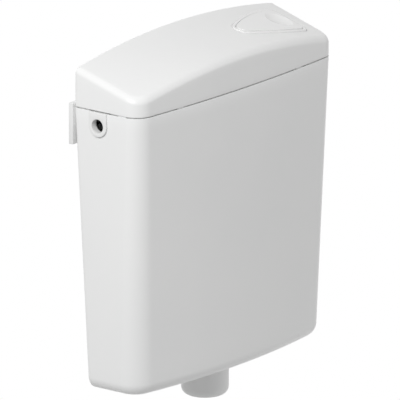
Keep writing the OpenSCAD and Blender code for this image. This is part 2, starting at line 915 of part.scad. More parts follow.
module rocker_lever() {
  tail = lever_x + lever_tail;
  hub_w = lever_hub + over;
  hub_h = lever_hub - over;
  rim_top = lever_top - pocket_rim;
  rim_low = arm_low - pocket_rim;
  pocket = lever_half - lever_web / 2 + over;
  color("ivory")
  difference() {
    union() {
      along_y(out_y + lever_half, 2 * lever_half)
        translate([lever_x, lever_z])
          polygon([[-tail, -lever_low], [-tail, lever_top], [-tail + arm_end, lever_top],
                   [-hub_w, hub_h], [hub_w, hub_h], [push_arm - push_pad, lever_top],
                   [push_arm + push_end, lever_top], [push_arm + push_end, -lever_low / 3],
                   [push_arm - push_pad, -lever_low], [hub_w, -hub_h], [-hub_w, -hub_h],
                   [-tail + arm_end, -arm_low]]);
      translate([lever_x, out_y + lever_half, lever_z]) rotate([90, 0, 0])
        cylinder(r = lever_hub, h = 2 * lever_half);
    }
    lever_pin_bore();
    // fork round the lift rod
    translate([-lever_tail - over, out_y - fork_half, lever_z - arm_end])
      cube([lever_tail + collar_r, 2 * fork_half, 2 * arm_end]);
    // lightening pockets on both faces
    for (y = [out_y + lever_half + over, out_y - lever_web / 2])
      along_y(y, pocket)
        translate([lever_x, lever_z]) {
          polygon([[-tail + arm_end + lever_top, rim_top], [-tail + arm_end + lever_top, -rim_low],
                   [-hub_w - 2 * over, -arm_low], [-hub_w - 2 * over, arm_low]]);
          polygon([[hub_w + 2 * over, arm_low], [hub_w + 2 * over, -arm_low],
                   [push_arm - push_pad - 2 * over, -lever_low / 3],
                   [push_arm - push_pad - 2 * over, rim_top]]);
        }
  }
}

module lift_head() {
  stem = collar_z + collar_h;
  root = tube_top + cap_h - over;
  cap_r = tube_r + cap_side;
  plug_in = bore_r - plug_t;
  plug_out = bore_r - seam / 2;
  color("ivory") {
    turned([[0, root], [rod_r + 4 * fit, root], [rod_r, root + cap_h], [rod_r, collar_z],
            [collar_r, collar_z], [collar_r, collar_z + collar_h / 2], [collar_r - collar_edge, stem],
            [0, stem]]);
    difference() {
      turned([[0, tube_top + seat_fit], [cap_r, tube_top + seat_fit], [cap_r, tube_top + cap_h / 2],
              [2 * rod_r, tube_top + cap_h], [0, tube_top + cap_h]]);
      // way into the overflow, between four spokes
      for (a = [0 : 90 : 270])
        translate([0, out_y, 0]) rotate([0, 0, a])
          translate([spoke_half, spoke_half, tube_top - over]) cube([way_w, way_w, cap_h + 3 * over]);
    }
    turned([[plug_in, tube_top - plug_h], [plug_out, tube_top - plug_h], [plug_out, tube_top + over],
            [plug_in, tube_top + over]]);
  }
}

module lift_tube() {
  foot = seat_z + seal_t + seam / 2;
  color("ivory")
  turned([[bore_r, foot], [seat_r, foot], [seat_r, foot + foot_t], [tube_r + cap_side, foot + foot_cone],
          [tube_r, foot + foot_h], [tube_r, tube_top], [bore_r, tube_top]]);
}

module tube_float() {
  low = tube_float_z;
  top = low + tube_float_h;
  out = tube_r + tube_float_w;
  in = tube_r + fit;
  sleeve = tube_r + sleeve_t;
  color("ivory")
  turned([[in, low], [out - float_edge, low], [out, low + float_edge], [out, top - float_dome],
          [out - float_edge, top - float_dome / 2], [out - float_dome, top], [in, top],
          [in, top - float_edge], [out - 3 * float_edge, top - float_edge],
          [out - float_wall, top - 4 * float_wall], [out - float_wall, low + float_dome / 2],
          [out - 2 * float_wall, low + float_wall], [sleeve, low + float_wall],
          [sleeve, low + float_dome], [in, low + float_dome]]);
}

module valve_seal() {
  out = seat_r + seal_out;
  top = seat_z + seal_t + fit;
  color("dimgray")
  turned([[bore_r, seat_z + fit], [out - seal_edge, seat_z + fit], [out, seat_z + seal_t / 3],
          [out, seat_z + 2 * seal_t / 3], [out - 2 * seal_edge, top], [bore_r, top]]);
}

module valve_seat() {
  color("ivory")
  turned([[tail_bore, tail_end], [tail_r - tail_edge, tail_end], [tail_r, tail_end + tail_edge],
          [tail_r, flange_z], [cage_r + seat_rim, flange_z], [cage_r + seat_rim, cage_z - seat_rim],
          [cage_r, cage_z], [seat_r + crown_foot, cage_z], [seat_r + crown, seat_z],
          [seat_r - crown, seat_z], [tail_bore, cage_z - 2 * seat_rim]]);
}

module seat_gasket() {
  in = tail_r + 4 * fit;
  out = cage_r - gasket_in;
  color("dimgray")
  turned([[in, floor_z + seat_fit], [out, floor_z + seat_fit], [out, flange_z - seat_fit],
          [in, flange_z - seat_fit]]);
}

module valve_cage() {
  in_r = cage_r - cage_t;
  window = cage_r;
  low = cage_z + seat_fit;
  color("whitesmoke")
  difference() {
    turned([[in_r - cage_foot, low], [cage_r, low], [cage_r, low + cage_h], [in_r, low + cage_h],
            [in_r, low + cage_step], [in_r - cage_foot, low + cage_step - cage_foot]]);
    // four windows for the flush water
    for (a = [0, 90])
      translate([0, out_y, low + cage_step]) rotate([0, 0, a])
        translate([-2 * cage_r, -window / 2, 0])
          cube([4 * cage_r, window, cage_h - cage_step - cage_top]);
  }
}

module cage_cap() {
  low = cage_z + cage_h + 2 * seat_fit;
  in = tube_r + cap_fit;
  spigot = cage_r - cage_t - seam;
  color("whitesmoke")
  difference() {
    turned([[in, low], [spigot, low - cap_in], [spigot, low], [cage_r + seat_rim, low],
            [cage_r + seat_rim, low + cap_rim_t], [tube_r + cap_in, low + cap_in + seat_rim],
            [tube_r + guide_t, low + guide_h], [in, low + guide_h]]);
    // vents round the guide
    for (a = [45 : 90 : 315])
      translate([0, out_y, 0]) rotate([0, 0, a])
        translate([tube_r + vent_in, 0, low - 2 * cap_in]) cylinder(r = vent_r, h = 5 * cap_in);
  }
}

module nut_washer() {
  in = tail_r + seam;
  out = nut_r - washer_in;
  color("whitesmoke")
  turned([[in, foot_z - washer_t], [out, foot_z - washer_t], [out, foot_z - seat_fit],
          [in, foot_z - seat_fit]]);
}

module outlet_nut() {
  top = foot_z - washer_t - seat_fit;
  lip = nut_end + nut_lip;
  c = nut_r - nut_edge_r;
  in = tail_r + fit;
  hole = pipe_r + 2 * seam;
  a0 = asin((hole - c) / nut_edge_r);
  color("whitesmoke")
  turned(concat(
    [[in, top], [in, lip], [hole, lip]],
    [for (i = [0 : 16])
      let (a = mix(a0, 90, i / 16))
      [c + nut_edge_r * sin(a), nut_end + nut_edge_r * (1 - cos(a))]],
    [[nut_r, top - nut_chamfer], [nut_r - nut_chamfer, top]]
  ));
}

module pipe_seal() {
  low = nut_end + nut_lip + seat_fit;
  top = tail_end - seat_fit;
  color("dimgray")
  turned([[pipe_r, low], [tail_r, low], [tail_r, top], [pipe_r + seal_lead, top],
          [pipe_r, top - seal_lead]]);
}

// Turned piece on the right inlet's axis, drawn as [radius, x]
module inlet_turned(pts) {
  translate([0, in_y, in_z]) rotate([0, 90, 0]) rotate_extrude($fn = 72) polygon(pts);
}

module fill_valve_body() {
  flange = insert_in - shank_seal_t;
  relief = half_w + fit + plate_t + shank_nut_t + 4 * fit;
  head_l = head_top - head_foot;
  tip = pivot_x - lug_tip;
  color("whitesmoke")
  difference() {
    union() {
      translate([head_x, in_y, head_foot])
        rotate_extrude($fn = 72)
          polygon([[0, 0], [head_r - head_edge, 0], [head_r, head_edge], [head_r, head_l], [0, head_l]]);
      inlet_turned([[0, head_x], [neck_r, head_x], [neck_r, flange - flange_w],
                    [flange_r - flange_edge, flange - flange_w],
                    [flange_r, flange - flange_w + flange_edge], [flange_r, flange], [shank_r, flange],
                    [shank_r, relief], [shank_r - relief_in, relief],
                    [shank_r - relief_in, relief + relief_w], [shank_r, relief + relief_w],
                    [shank_r, shank_end - shank_edge], [shank_r - shank_edge, shank_end],
                    [0, shank_end]]);
      // ears of the float lever
      for (y = [in_y - arm_half - lug_gap, in_y + lug_out])
        along_y(y, lug_t)
          polygon([[head_x - lug_root, pivot_z + lug_up], [pivot_x, pivot_z + lug_r],
                   [tip, pivot_z + 0.4 * lug_r], [tip, pivot_z - 0.6 * lug_r],
                   [pivot_x, pivot_z - lug_r], [head_x - lug_root, pivot_z - lug_low]]);
      // spigot of the silencing tube
      translate([head_x, in_y, head_foot - spigot_l]) cylinder(r = spigot_r, h = spigot_l + over);
    }
    inlet_turned([[0, head_x + bore_in], [shank_bore, head_x + bore_in], [shank_bore, shank_end + over],
                  [0, shank_end + over]]);
    translate([head_x, in_y, head_foot - spigot_l - over])
      cylinder(r = spigot_r - tube_t, h = spigot_l + bore_in);
    translate([head_x, in_y, head_top - cap_seat])
      cylinder(r = head_r - seat_wall, h = cap_seat + over);
    float_pin_bore();
  }
}

module float_pin_bore() {
  translate([pivot_x, in_y + small_pin_l, pivot_z]) rotate([90, 0, 0])
    cylinder(r = small_pin_r + pin_fit, h = 2 * small_pin_l);
}

module valve_cap() {
  low = head_top + seat_fit;
  out = head_r + top_out;
  color("ivory")
  difference() {
    translate([head_x, in_y, low])
      rotate_extrude($fn = 72)
        polygon([[0, 0], [out, 0], [out, top_side], [out - 2 * top_out, 1.5 * top_side],
                 [head_r / 4, valve_top_h], [0, valve_top_h]]);
    // grip flutes
    for (a = [0 : 30 : 330])
      translate([head_x, in_y, 0]) rotate([0, 0, a])
        translate([head_r + flute_out, 0, low - over]) cylinder(r = flute_r, h = valve_top_h + 2 * over);
  }
}

module diaphragm() {
  out = head_r - seat_wall - 2 * fit;
  rim_h = cap_seat - fit;
  color("dimgray")
  translate([head_x, in_y, head_top - cap_seat + seat_fit])
    rotate_extrude($fn = 72)
      polygon([[0, 0], [out, 0], [out, rim_h], [head_r - disc_in, rim_h],
               [head_r - disc_in - 1.25 * disc_t, disc_t], [0, disc_t]]);
}

module shank_seal() {
  low = insert_in - shank_seal_t + seat_fit;
  top = insert_in - seat_fit;
  color("dimgray")
  inlet_turned([[shank_r + fit, low], [flange_r - seam, low], [flange_r - seam, top],
                [shank_r + fit, top]]);
}

module shank_nut() {
  low = half_w + fit + plate_t + seat_fit;
  color("whitesmoke")
  difference() {
    translate([low, in_y, in_z]) rotate([0, 90, 0]) {
      cylinder(r = flange_r + shank_flange, h = shank_flange_t);
      cylinder(r = flange_r, h = shank_nut_t, $fn = 6);
    }
    translate([low - over, in_y, in_z]) rotate([0, 90, 0])
      cylinder(r = shank_r + fit, h = shank_nut_t + 2 * over);
  }
}

module inlet_filter() {
  x0 = head_x + filter_in;
  r = shank_bore - fit;
  neck = x0 + filter_neck;
  color("ivory")
  inlet_turned([[0, x0], [r - filter_t, x0], [r - filter_t / 2, neck], [r, neck + 2 * filter_t],
                [r, x0 + filter_l], [r - filter_t, x0 + filter_l], [r - 2 * filter_t, x0 + filter_t],
                [0, x0 + filter_t]]);
}

module float_lever() {
  tip = -float_reach - arm_tip;
  neck = -float_reach + arm_tip;
  color("ivory")
  difference() {
    union() {
      along_y(in_y + arm_half, 2 * arm_half)
        translate([pivot_x, pivot_z])
          polygon([[tip, -arm_t / 2], [tip, arm_t / 2], [neck, 0.6 * arm_t], [-1.5 * arm_t, arm_t],
                   [arm_t, 0.75 * arm_t], [arm_t, -0.75 * arm_t], [-1.5 * arm_t, -arm_t],
                   [neck, -0.6 * arm_t]]);
      translate([pivot_x, in_y + arm_half, pivot_z]) rotate([90, 0, 0])
        cylinder(r = small_pin_r + hub_t, h = 2 * arm_half);
    }
    float_pin_bore();
    // long eye for the float rod
    translate([float_x - eye_out, in_y - float_rod_r - eye_gap, pivot_z - arm_tip])
      cube([eye_in + eye_out, 2 * (float_rod_r + eye_gap), 2 * arm_tip]);
  }
}

module float_lever_pin() {
  color("silver")
  translate([pivot_x, in_y + small_pin_l / 2, pivot_z]) rotate([90, 0, 0])
    cylinder(r = small_pin_r, h = small_pin_l);
}

module float_rod() {
  low = float_top - rod_in;
  under = pivot_z - rod_stop;
  upper = pivot_z + rod_stop;
  end = upper + stop_t + rod_tip;
  r = float_rod_r;
  color("silver")
  translate([float_x, in_y, 0])
    rotate_extrude($fn = 48)
      polygon([[0, low], [r, low], [r, under - stop_t], [stop_r, under - stop_t], [stop_r, under],
               [r, under], [r, upper], [stop_r, upper], [stop_r, upper + stop_t], [r, upper + stop_t],
               [r / 1.5, end], [0, end]]);
}

module fill_float() {
  foot = float_top - float_h;
  in = float_rod_r + fit;
  hub = in + float_hub_t;
  hub_end = float_top + 2 * float_skin;
  wall = float_r - float_skin;
  color("ivory")
  translate([float_x, in_y, 0])
    rotate_extrude($fn = 72)
      polygon([[in, float_top - float_hub_h], [hub, float_top - float_hub_h], [hub, float_top - float_skin],
               [wall - 1.5 * float_skin, float_top - float_skin], [wall, float_top - 2.5 * float_skin],
               [wall, foot], [float_r, foot], [float_r, float_top - 2 * float_skin],
               [float_r - 2 * float_skin, float_top], [hub + float_skin / 2, float_top],
               [hub, hub_end], [in, hub_end]]);
}

module fill_tube() {
  in = spigot_r + fit;
  out = in + tube_t;
  top = head_foot - over;
  color("whitesmoke")
  translate([head_x, in_y, 0])
    rotate_extrude($fn = 48)
      polygon([[in, tube_foot], [out, tube_foot], [out, top], [in, top]]);
}

tank();
lid();
wall_rail();
hanger_studs();
inlet_insert_left();
inlet_insert_right();
button_bezel();
flush_button();
button_pin();
lever_bridge();
bridge_screws();
lever_pin();
rocker_lever();
lift_head();
lift_tube();
tube_float();
valve_seal();
valve_seat();
seat_gasket();
valve_cage();
cage_cap();
nut_washer();
outlet_nut();
pipe_seal();
fill_valve_body();
valve_cap();
diaphragm();
shank_seal();
shank_nut();
inlet_filter();
float_lever();
float_lever_pin();
float_rod();
fill_float();
fill_tube();
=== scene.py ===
"""Looks of the wall hung cistern: smooth shells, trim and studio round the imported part."""

import json
import math

import bmesh
import bpy
import numpy as np
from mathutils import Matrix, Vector


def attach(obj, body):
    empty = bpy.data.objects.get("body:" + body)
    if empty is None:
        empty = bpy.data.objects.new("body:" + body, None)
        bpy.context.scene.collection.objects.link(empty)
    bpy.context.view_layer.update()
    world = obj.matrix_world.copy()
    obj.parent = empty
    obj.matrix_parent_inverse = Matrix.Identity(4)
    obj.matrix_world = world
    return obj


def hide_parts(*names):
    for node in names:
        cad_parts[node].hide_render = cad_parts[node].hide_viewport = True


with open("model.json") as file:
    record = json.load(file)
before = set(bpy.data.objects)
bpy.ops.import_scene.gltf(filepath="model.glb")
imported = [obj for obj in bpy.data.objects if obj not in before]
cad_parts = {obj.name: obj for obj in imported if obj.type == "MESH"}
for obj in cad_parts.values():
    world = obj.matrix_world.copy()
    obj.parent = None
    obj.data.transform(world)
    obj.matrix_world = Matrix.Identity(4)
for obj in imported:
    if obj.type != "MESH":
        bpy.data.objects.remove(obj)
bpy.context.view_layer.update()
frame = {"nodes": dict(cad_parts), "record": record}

# Sizes in millimetres and angles in degrees, in the part's frame
PER_M = 1000.0

# Tank
HALF_W, TANK_D, TANK_H = 200.0, 104.0, 369.0
WALL = 3.0
RIM_Z = 21.5
FOOT_Z = RIM_Z - TANK_H
FLOOR_Z = FOOT_Z + WALL
BACK = -6.7
BOW_RIM, BOW_FOOT = 10.0, 18.0
MID_Y = BACK - (TANK_D + BOW_RIM) / 2
SIDE_DRAFT, FRONT_DRAFT, BACK_DRAFT = 9.3, 11.6, 14.0
CORNER_RIM, CORNER_FOOT = 24.0, 32.0
BACK_R, FOOT_R, FOOT_BACK_R, LEAST_R = 6.0, 17.0, 9.0, 0.3
RIM_SOFT, RIM_THIN = 0.5, 0.4  # roundings of the rim, outside and inside
N_BACK, N_BACK_R, N_SIDE, N_CORNER, N_FRONT = 40, 10, 14, 24, 80
N_FOOT, N_WALL, N_RIM, N_IN_WALL, N_IN_FOOT = 14, 22, 4, 14, 10

# Lid
LID_BACK, LID_FALL, LID_CROWN, LID_GAIN = 53.2, 0.298, 17.9, 0.08
LID_EDGE, LID_T, LID_GAP, LID_SOFT = 8.0, 2.5, 1.8, 0.5
LIP_OUT, LIP_IN, LIP_H = WALL + 0.5, WALL + 2.5, 6.0
LIP_ROOT, LIP_SHOULDER, LIP_RISE, LIP_EDGE = 12.0, 9.0, 0.6, 0.5
LIP_CUT_IN, LIP_CUT_L, LIP_CUT_SIDE, LIP_CUT_OVER = 0.2, 16.0, 3.0, 1.0
SIDE_SHARES = (0.2, 0.4, 0.6, 0.8)
TOP_SHARES = np.linspace(0.06, 0.97, 20)
N_LID_EDGE, N_LID_IN, N_LID_SOFT = 12, 8, 6
PAD_IN, PAD_L, PAD_X, PAD_FIT, PAD_ROOT = 1.9, 12.0, 120.0, 0.05, 1.0
PAD_LOOK, N_PAD = 5.0, 7  # reach of the search along the rim, points on a pad's side

# Bezel and button
BTN_X, BTN_Y, BTN_L, BTN_W = 112.0, BACK - 55.0, 118.0, 64.0
NOSE_R, NOSE_OFF, NEAR_R, FAR_R = 14.5, 6.0, 12.5, 8.5
EDGE_BOWS = (5.0, 0.8, 5.5)
SWELL = 3.6  # height of a bowed edge, near the 4 of a full parabola
N_TURN, N_EDGE = 20, 36
RECESS_H, RECESS_GAP, RECESS_UP, SEAT_IN = 1.2, 0.9, 8.0, 1.8
HOLE_LOW, HOLE_HIGH = RIM_Z + 12.0, RIM_Z + 90.0
BEZEL_W, BEZEL_H, BEZEL_SKIRT, BEZEL_FIT = 4.0, 1.2, 14.0, 0.15
BEZEL_ROUND = ((0.0, 0.45), (0.08, 0.2), (0.24, 0.05), (0.5, 0.0))  # in, down
SKIRT_IN, SKIRT_EDGE, SKIRT_UP_IN, SKIRT_UP_OUT = 2.1, 0.2, 0.4, 0.3
BTN_G, BTN_RISE, BTN_T, BTN_EDGE = -4.9, 0.6, 3.2, 0.4
BTN_SKIRT, BTN_WALL, BTN_WALL_EDGE = 9.0, 2.0, 0.3
DIMPLE_X, DIMPLE_D, DIMPLE_H = 147.0, 38.0, 4.0
DIMPLE_LOOK, N_HALVINGS = 0.62, 40  # search for the dimple's rim, as a share of its width
N_BOWL, N_TOP, N_BTN_EDGE, N_UNDER, CENTRE_BOWL, CENTRE_UNDER = 14, 16, 7, 10, 0.08, 0.05
BOSS_OUT, BOSS_LOW, BOSS_TOP = 3.0, -7.0, -3.1
HINGE_X, HINGE_Z, HINGE_BORE, HINGE_REACH = 74.0, 69.557, 2.05, 60.0
KNUCKLE_R, KNUCKLE_NEAR, KNUCKLE_FAR = 4.4, 10.5, 9.5
RIB_X, RIB_Y, RIB_IN, RIB_FIT, RIB_EDGE = 3.0, 5.0, 4.0, 0.3, 0.5

# Lever and its brackets on the tank
LEVER_X, PUSH_X, LEVER_Z, LEVER_TOP = 88.0, 146.0, 35.5, 4.0
BRIDGE_FOOT, BRIDGE_HALF, SCREW_IN = RIM_Z - 18.0, 9.0, 11.0
FRONT_GAP, BACK_GAP = 1.6, 1.0
LEDGE_IN, LEDGE_ROOT, LEDGE_L, LEDGE_T, LEDGE_H = 0.6, 2.4, 18.0, 8.0, 30.0
LEDGE_EDGE, LEDGE_SIDE, LEDGE_FIT = 0.8, 2.0, 0.05
PILOT_R, PILOT_L = 2.05, 7.0

# Inlet inserts
IN_Y, IN_Z, IN_R, PLATE_R = BACK - 40.0, 4.0, 9.0, 14.0
SLOT_LAP, SLOT_OUT, SLOT_IN, SLOT_UP = 2.4, 5.0, 9.0, 3.0
NECK_R, INSERT_SEAT, PLATE_OUT, PLATE_FIT = 11.4, 7.5, 2.3, 0.1
FLANGE_T, FLANGE_EDGE, TOP_LAP = 3.4, 0.3, 1.0
INNER_EDGE = ((0.0, 0.5), (0.15, 0.15), (0.5, 0.0))  # along, in
PLATE_EDGE = ((0.45, 0.0), (0.12, 0.14), (0.0, 0.5))
BORE_EDGE = ((0.0, 0.5), (0.12, 0.16), (0.5, 0.0))
BORE_END = ((0.5, 0.0), (0.0, 0.4))
N_INSERT, TINY = 96, 1e-6

# Wall rail
RAIL_T, RAIL_H, RAIL_W = 6.6, 54.0, 403.2
RAIL_EDGE, RAIL_RIB, RAIL_MID, WALL_BOSS, STUD_BOSS = 0.9, 3.0, 22.0, 14.0, 10.0
CELL_EDGE, CELL_OUT = 1.0, 4.0
WALL_X, SCREW_R, SINK_R, SINK_H, SINK_OUT = 120.0, 3.3, 6.9, 3.2, 0.4
HANG_X, STUD_BORE = 158.0, 4.05
KEY_R, KEY_HEAD_R, KEY_DROP, KEY_L, KEY_OPEN = 4.3, 8.6, 18.0, 10.0, 150.0
N_KEY, N_KEY_HEAD = 24, 64
N_DRILL = 64

# Outlet nut
OUT_Y, NUT_R, NUT_L, NUT_EDGE = BACK - 52.0, 30.4, 43.0, 11.0
NUT_GAP, NUT_LIP, NUT_SOFT, NUT_TURN = 1.55, 5.0, 1.2, 3.0
TAIL_R, TAIL_FIT, TAIL_HOLE_FIT, PIPE_HOLE, PIPE_EDGE = 22.5, 0.1, 0.4, 20.6, 0.6
HOLE_TURN = 1.0  # keeps the points of the hole off the lines of the floor
N_NUT, N_NUT_EDGE, N_NUT_SOFT = 160, 24, 6

N_LARGE, N_MIDDLE, N_SMALL = 96, 48, 32  # points on a circle
OVER = 2.0  # reach of a cutter past what it cuts
SHARP, SHARP_SMALL, SHARP_INSERT, SHARP_BUTTON = 30.0, 40.0, 35.0, 12.0  # kept edges
SAME_POINT = 2e-6  # metres


def mix(a, b, t):
    return a + (b - a) * t


def arc(x, y, r, a0, a1, n):
    a = np.radians(np.linspace(a0, a1, n, endpoint=False))
    return np.stack([x + r * np.cos(a), y + r * np.sin(a)], 1)


def run(p, q, n):
    t = np.linspace(0, 1, n, endpoint=False)[:, None]
    return np.array(p) + (np.array(q) - np.array(p)) * t


def quarter(n):
    """Cosine and sine at n equal steps over a right angle."""
    turns = [math.radians(90 * i / n) for i in range(n + 1)]
    return [(math.cos(a), math.sin(a)) for a in turns]


def plan(t, d, db):
    """Plan ring of the shell at a share t of its height under the rim.

    It is inset by d, and by db at the back.
    """
    hw = HALF_W - SIDE_DRAFT * t
    yb = BACK - BACK_DRAFT * t
    bow = mix(BOW_RIM, BOW_FOOT, t)
    yf = BACK - TANK_D + FRONT_DRAFT * t
    rf = mix(CORNER_RIM, CORNER_FOOT, t)
    ra = (hw * hw + bow * bow) / (2 * bow)
    cy = yf - bow + ra
    fx = hw - rf
    fy = cy - math.sqrt((ra - rf) ** 2 - fx * fx)
    a0 = 360 + math.degrees(math.atan2(fy - cy, -fx))
    rb = max(BACK_R - d, LEAST_R)
    bx = hw - d - rb
    by = yb - db - rb
    return np.concatenate([
        run((bx, yb - db), (-bx, yb - db), N_BACK),
        arc(-bx, by, rb, 90, 180, N_BACK_R),
        run((d - hw, by), (d - hw, fy), N_SIDE),
        arc(-fx, fy, rf - d, 180, a0, N_CORNER),
        arc(0, cy, ra - d, a0, 540 - a0, N_FRONT),
        arc(fx, fy, rf - d, 540 - a0, 360, N_CORNER),
        run((hw - d, fy), (hw - d, by), N_SIDE),
        arc(bx, by, rb, 0, 90, N_BACK_R),
    ])


def lid_top(x, y):
    """Height of the lid's top: crowned across, falling to the front."""
    depth = BACK - y
    crown = (LID_CROWN + LID_GAIN * depth) * (1 - x * x / HALF_W ** 2)
    return RIM_Z + LID_BACK - LID_FALL * depth + crown


def lid_normal(x, y):
    sx = -2 * (LID_CROWN + LID_GAIN * (BACK - y)) * x / HALF_W ** 2
    sy = LID_FALL - LID_GAIN * (1 - x * x / HALF_W ** 2)
    n = np.array([-sx, -sy, 1.0])
    return n / np.linalg.norm(n)


def tank_ring(z, d, db):
    p = plan((RIM_Z - z) / TANK_H, d, db)
    return np.column_stack([p, np.full(len(p), z)])


def lid_ring(z, d):
    p = plan(0, d, d)
    return np.column_stack([p, np.full(len(p), z)])


def top_ring(drop, d, s):
    """Ring under the lid's top by drop, inset by d and drawn in to a share s."""
    p = plan(0, d, d)
    x, y = p[:, 0] * s, MID_Y + (p[:, 1] - MID_Y) * s
    return np.column_stack([x, y, lid_top(x, y) - drop])


def outline(corners, bows):
    """Outline through round corners (x, y, r) joined by bowed edges."""
    def lean(a, b):
        return math.degrees(math.asin((a[2] - b[2]) / math.hypot(b[0] - a[0], b[1] - a[1])))

    def way(a, b):
        return math.degrees(math.atan2(b[1] - a[1], b[0] - a[0])) - 90 + lean(a, b)

    def length(a, b):
        return math.hypot(b[0] - a[0], b[1] - a[1]) * math.cos(math.radians(lean(a, b)))

    pts = []
    for k, q in enumerate(corners):
        p, r = corners[k - 1], corners[(k + 1) % len(corners)]
        d_in = way(p, q)
        d_out = d_in + (way(q, r) - d_in) % 360
        sway = math.degrees(math.atan(4 * bows[k] / length(q, r)))
        a_in = d_in + math.degrees(math.atan(4 * bows[k - 1] / length(p, q)))
        a_out = d_out - sway
        pts.append(arc(*q, a_in, a_out, N_TURN))
        s = arc(*q, a_out, a_out, 1)[0]
        e = arc(*r, d_out + sway, d_out + sway, 1)[0]
        u = np.linspace(0, 1, N_EDGE, endpoint=False)[:, None]
        side = np.array([math.cos(math.radians(d_out)), math.sin(math.radians(d_out))])
        pts.append(s + (e - s) * u + bows[k] * SWELL * u * (1 - u) * side)
    return np.concatenate(pts)


def bezel_line(g):
    """Outline of the bezel, grown by g."""
    x0, x1 = BTN_X - BTN_L / 2, BTN_X + BTN_L / 2
    y0, y1 = BTN_Y - BTN_W / 2, BTN_Y + BTN_W / 2
    return outline([(x0 + NOSE_R, BTN_Y - NOSE_OFF, NOSE_R + g),
                    (x1 - NEAR_R, y0 + NEAR_R, NEAR_R + g),
                    (x1 - FAR_R, y1 - FAR_R, FAR_R + g)], EDGE_BOWS)


def over_top(line, h):
    return np.column_stack([line, lid_top(line[:, 0], line[:, 1]) + h])


def level(h):
    """Height over a loop of plan points, at an offset h from the lid's top."""
    return lambda p: lid_top(p[:, 0], p[:, 1]) + h


class Build:
    """Collects vertices in millimetres and faces of one piece."""

    def __init__(self):
        self.v, self.f = [], []

    def loft(self, rings, closed=False, first=None, last=None):
        """Skin through rings of equal length.

        closed joins the last ring to the first; first and last are apexes of the ends.
        """
        base, n, m = len(self.v), len(rings[0]), len(rings)
        for r in rings:
            self.v.extend(map(tuple, r))
        for k in range(m if closed else m - 1):
            a, b = base + k * n, base + ((k + 1) % m) * n
            for i in range(n):
                j = (i + 1) % n
                self.f.append((a + i, b + i, b + j, a + j))
        for apex, start, flip in ((first, base, False), (last, base + (m - 1) * n, True)):
            if apex is None:
                continue
            self.v.append(tuple(apex))
            c = len(self.v) - 1
            for i in range(n):
                j = (i + 1) % n
                self.f.append((c, start + j, start + i) if flip else (c, start + i, start + j))
        return self

    def turned(self, pts, x, y, n, solid=False):
        """Ring, or solid with flat ends, turned round an upright axis from (radius, z) points."""
        a = np.linspace(0, 2 * math.pi, n, endpoint=False)
        rings = [np.column_stack([x + r * np.cos(a), y + r * np.sin(a), np.full(n, z)])
                 for r, z in pts]
        if solid:
            return self.loft(rings, first=(x, y, pts[0][1]), last=(x, y, pts[-1][1]))
        return self.loft(rings, closed=True)

    def prism(self, loop, low, high):
        """Solid between a loop at two heights, each a number or a function of the loop."""
        a, b = (np.column_stack([loop, z(loop) if callable(z) else np.full(len(loop), z)])
                for z in (low, high))
        return self.loft([a, b], first=a.mean(0), last=b.mean(0))

    def swap(self, order):
        self.v = [tuple(p[i] for i in order) for p in self.v]
        return self

    def object(self, name, sharp=SHARP):
        mesh = bpy.data.meshes.new(name)
        mesh.from_pydata([tuple(c / PER_M for c in p) for p in self.v], [], self.f)
        rework(mesh, lambda bm: bmesh.ops.recalc_face_normals(bm, faces=bm.faces))
        return to_object(mesh, name, sharp)


def rework(mesh, work):
    """Runs work on an editable copy of the mesh, and writes it back."""
    bm = bmesh.new()
    bm.from_mesh(mesh)
    work(bm)
    bm.to_mesh(mesh)
    bm.free()


def to_object(mesh, name, sharp):
    obj = bpy.data.objects.new(name, mesh)
    bpy.context.scene.collection.objects.link(obj)
    smooth(obj, sharp)
    return obj


def smooth(obj, sharp):
    mesh = obj.data
    mesh.polygons.foreach_set("use_smooth", [True] * len(mesh.polygons))
    mesh.set_sharp_from_angle(angle=math.radians(sharp))
    mesh.update()


def discard(obj):
    data = obj.data
    bpy.data.objects.remove(obj)
    bpy.data.meshes.remove(data)


def cut(obj, cutters, sharp=SHARP):
    """Takes the cutters out of the piece, as flat triangles, and removes them."""
    rework(obj.data, lambda bm: bmesh.ops.triangulate(bm, faces=bm.faces[:]))
    for c in cutters:
        m = obj.modifiers.new("cut", "BOOLEAN")
        m.operation, m.solver, m.object = "DIFFERENCE", "EXACT", c
    dg = bpy.context.evaluated_depsgraph_get()
    mesh = bpy.data.meshes.new_from_object(obj.evaluated_get(dg))
    obj.modifiers.clear()
    old = obj.data
    obj.data = mesh
    bpy.data.meshes.remove(old)
    for c in cutters:
        discard(c)
    smooth(obj, sharp)


def join(main, others, sharp=SHARP):
    """Adds the meshes of the others to the main piece as shells of their own."""
    def add(bm):
        for o in others:
            bm.from_mesh(o.data)
            discard(o)

    rework(main.data, add)
    smooth(main, sharp)


def rounded_box(name, lo, hi, r, steps=3):
    """Box with rounded edges."""
    def shape(bm):
        bmesh.ops.create_cube(bm, size=1)
        for v in bm.verts:
            v.co = Vector([mix(lo[i], hi[i], v.co[i] + 0.5) / PER_M for i in range(3)])
        bmesh.ops.bevel(bm, geom=bm.edges[:], offset=r / PER_M, segments=steps, profile=0.5,
                        affect="EDGES")

    mesh = bpy.data.meshes.new(name)
    rework(mesh, shape)
    return to_object(mesh, name, SHARP_SMALL)


# Materials

RAMP_LOW, RAMP_HIGH = 0.32, 0.68  # span of the noise over which the two tones mix
GLOSS_GRAIN = 0.06  # scale of the gloss, as a share of the skin's
SKIN_DEPTH = 0.0002  # metres


